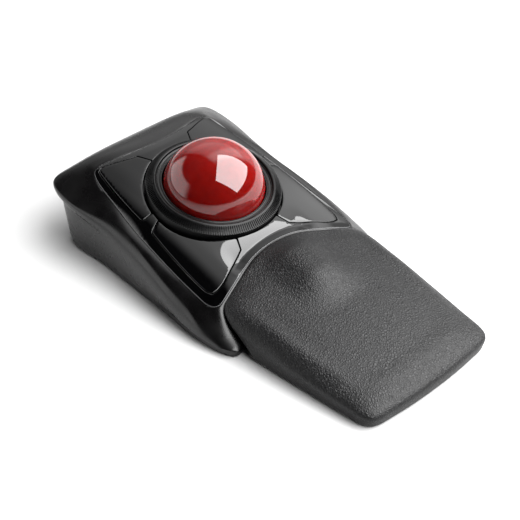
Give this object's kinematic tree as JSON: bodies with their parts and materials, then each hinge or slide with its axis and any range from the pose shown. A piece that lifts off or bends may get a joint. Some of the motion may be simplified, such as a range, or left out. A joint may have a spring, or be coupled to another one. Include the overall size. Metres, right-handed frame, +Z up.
{
  "type": "desktop trackball",
  "caption": "Desktop trackball with a large ball in a turning scroll ring, corner buttons, a sloped case and a detachable padded wrist rest.",
  "frame": {"origin": "middle of the whole object's footprint, on the plane that its feet stand on", "axes": "+Y from the wrist rest to the rear of the case, along the length; +Z up; +X to the user's right"},
  "size_m": [0.1208, 0.2265, 0.065],
  "materials": {
    "case_black": "fine moulded texture, soft-touch black",
    "deck_gloss": "piano-black gloss",
    "cup_black": "satin black",
    "ceramic": "polished ceramic",
    "ball_red": "polished deep red resin with fine pearl",
    "ring_black": "satin black with fine ribs",
    "inner_grey": "satin grey",
    "chip_black": "satin black",
    "button_gloss": "dark grey gloss",
    "plunger_white": "ivory",
    "board_green": "solder mask",
    "ribbon_grey": "flat cable",
    "lens_clear": "clear moulded lens",
    "cell_metal": "printed sleeve, plain",
    "contact_steel": "nickel plated",
    "receiver_black": "satin black",
    "knob_grey": "satin grey",
    "feet_rubber": "matte",
    "screw_steel": "zinc plated",
    "foam_grey": "open foam",
    "rest_leather": "fine-grain leatherette"
  },
  "bodies": {
    "housing": {"base_case": "case_black", "top_case": "case_black", "deck_plate": "deck_gloss", "ball_cup": "cup_black", "cup_bearings": "ceramic", "ring_seat": "inner_grey", "ring_sensor": "chip_black", "switch_upper_left": "chip_black", "switch_upper_right": "chip_black", "switch_lower_left": "chip_black", "switch_lower_right": "chip_black", "switch_board": "board_green", "main_board": "board_green", "board_ribbon": "ribbon_grey", "sensor_board": "board_green", "motion_sensor": "chip_black", "sensor_lens": "lens_clear", "battery_front": "cell_metal", "battery_rear": "cell_metal", "battery_springs": "contact_steel", "battery_plates": "contact_steel", "usb_receiver": "receiver_black", "rubber_feet": "feet_rubber", "case_screws": "screw_steel", "deck_screws": "screw_steel", "cup_screws": "screw_steel", "board_screws": "screw_steel"},
    "trackball": {"trackball": "ball_red"},
    "scroll_ring": {"scroll_ring": "ring_black"},
    "button_upper_left": {"button_upper_left": "button_gloss"},
    "button_upper_right": {"button_upper_right": "button_gloss"},
    "button_lower_left": {"button_lower_left": "button_gloss"},
    "button_lower_right": {"button_lower_right": "button_gloss"},
    "plunger_upper_left": {"plunger_upper_left": "plunger_white"},
    "plunger_upper_right": {"plunger_upper_right": "plunger_white"},
    "plunger_lower_left": {"plunger_lower_left": "plunger_white"},
    "plunger_lower_right": {"plunger_lower_right": "plunger_white"},
    "battery_door": {"battery_door": "case_black"},
    "power_switch": {"power_switch": "knob_grey"},
    "mode_switch": {"mode_switch": "knob_grey"},
    "pairing_button": {"pairing_button": "knob_grey"},
    "wrist_rest": {"rest_base": "case_black", "rest_foam": "foam_grey", "rest_cover": "rest_leather", "rest_feet": "feet_rubber"}
  },
  "joints": [
    {"name": "ball_spin", "type": "hinge", "parent": "housing", "child": "trackball", "pos_m": [0, 0.0424, 0.0375], "axis": [1, 0, 0], "continuous": true},
    {"name": "ring_spin", "type": "hinge", "parent": "housing", "child": "scroll_ring", "pos_m": [0, 0.0424, 0.0375], "axis": [0, -0.2164, 0.9763], "continuous": true},
    {"name": "upper_left_press", "type": "hinge", "parent": "housing", "child": "button_upper_left", "pos_m": [-0.039, 0.04467, 0.02725], "axis": [0, 0.9763, 0.2164], "range_deg": [0, 2], "stiffness_Nm_per_rad": 0.1, "springref_deg": -3.44},
    {"name": "upper_right_press", "type": "hinge", "parent": "housing", "child": "button_upper_right", "pos_m": [0.039, 0.04467, 0.02725], "axis": [0, -0.9763, -0.2164], "range_deg": [0, 2], "stiffness_Nm_per_rad": 0.1, "springref_deg": -3.44},
    {"name": "lower_left_press", "type": "hinge", "parent": "housing", "child": "button_lower_left", "pos_m": [-0.042, 0.04467, 0.02725], "axis": [0, 0.9763, 0.2164], "range_deg": [0, 2], "stiffness_Nm_per_rad": 0.1, "springref_deg": -3.44},
    {"name": "lower_right_press", "type": "hinge", "parent": "housing", "child": "button_lower_right", "pos_m": [0.042, 0.04467, 0.02725], "axis": [0, -0.9763, -0.2164], "range_deg": [0, 2], "stiffness_Nm_per_rad": 0.1, "springref_deg": -3.44},
    {"name": "upper_left_plunger", "type": "slide", "parent": "housing", "child": "plunger_upper_left", "axis": [0, 0.2164, -0.9763], "range_m": [0, 0.0004]},
    {"name": "upper_right_plunger", "type": "slide", "parent": "housing", "child": "plunger_upper_right", "axis": [0, 0.2164, -0.9763], "range_m": [0, 0.0004]},
    {"name": "lower_left_plunger", "type": "slide", "parent": "housing", "child": "plunger_lower_left", "axis": [0, 0.2164, -0.9763], "range_m": [0, 0.0004]},
    {"name": "lower_right_plunger", "type": "slide", "parent": "housing", "child": "plunger_lower_right", "axis": [0, 0.2164, -0.9763], "range_m": [0, 0.0004]},
    {"name": "door_slide", "type": "slide", "parent": "housing", "child": "battery_door", "axis": [0, 1, 0], "range_m": [0, 0.03]},
    {"name": "power_slide", "type": "slide", "parent": "housing", "child": "power_switch", "axis": [1, 0, 0], "range_m": [0, 0.003]},
    {"name": "mode_slide", "type": "slide", "parent": "housing", "child": "mode_switch", "axis": [1, 0, 0], "range_m": [0, 0.003]},
    {"name": "pairing_press", "type": "slide", "parent": "housing", "child": "pairing_button", "axis": [0, 0, 1], "range_m": [0, 0.0008], "stiffness_N_per_m": 600, "springref_m": -0.0012},
    {"name": "rest_pull", "type": "slide", "parent": "housing", "child": "wrist_rest", "axis": [0, -1, 0], "range_m": [0, 0.03]}
  ],
  "couplings": [
    {"joint": "upper_left_plunger", "follows": "upper_left_press", "m_per_rad": 0.008},
    {"joint": "upper_right_plunger", "follows": "upper_right_press", "m_per_rad": 0.008},
    {"joint": "lower_left_plunger", "follows": "lower_left_press", "m_per_rad": 0.009},
    {"joint": "lower_right_plunger", "follows": "lower_right_press", "m_per_rad": 0.009}
  ]
}
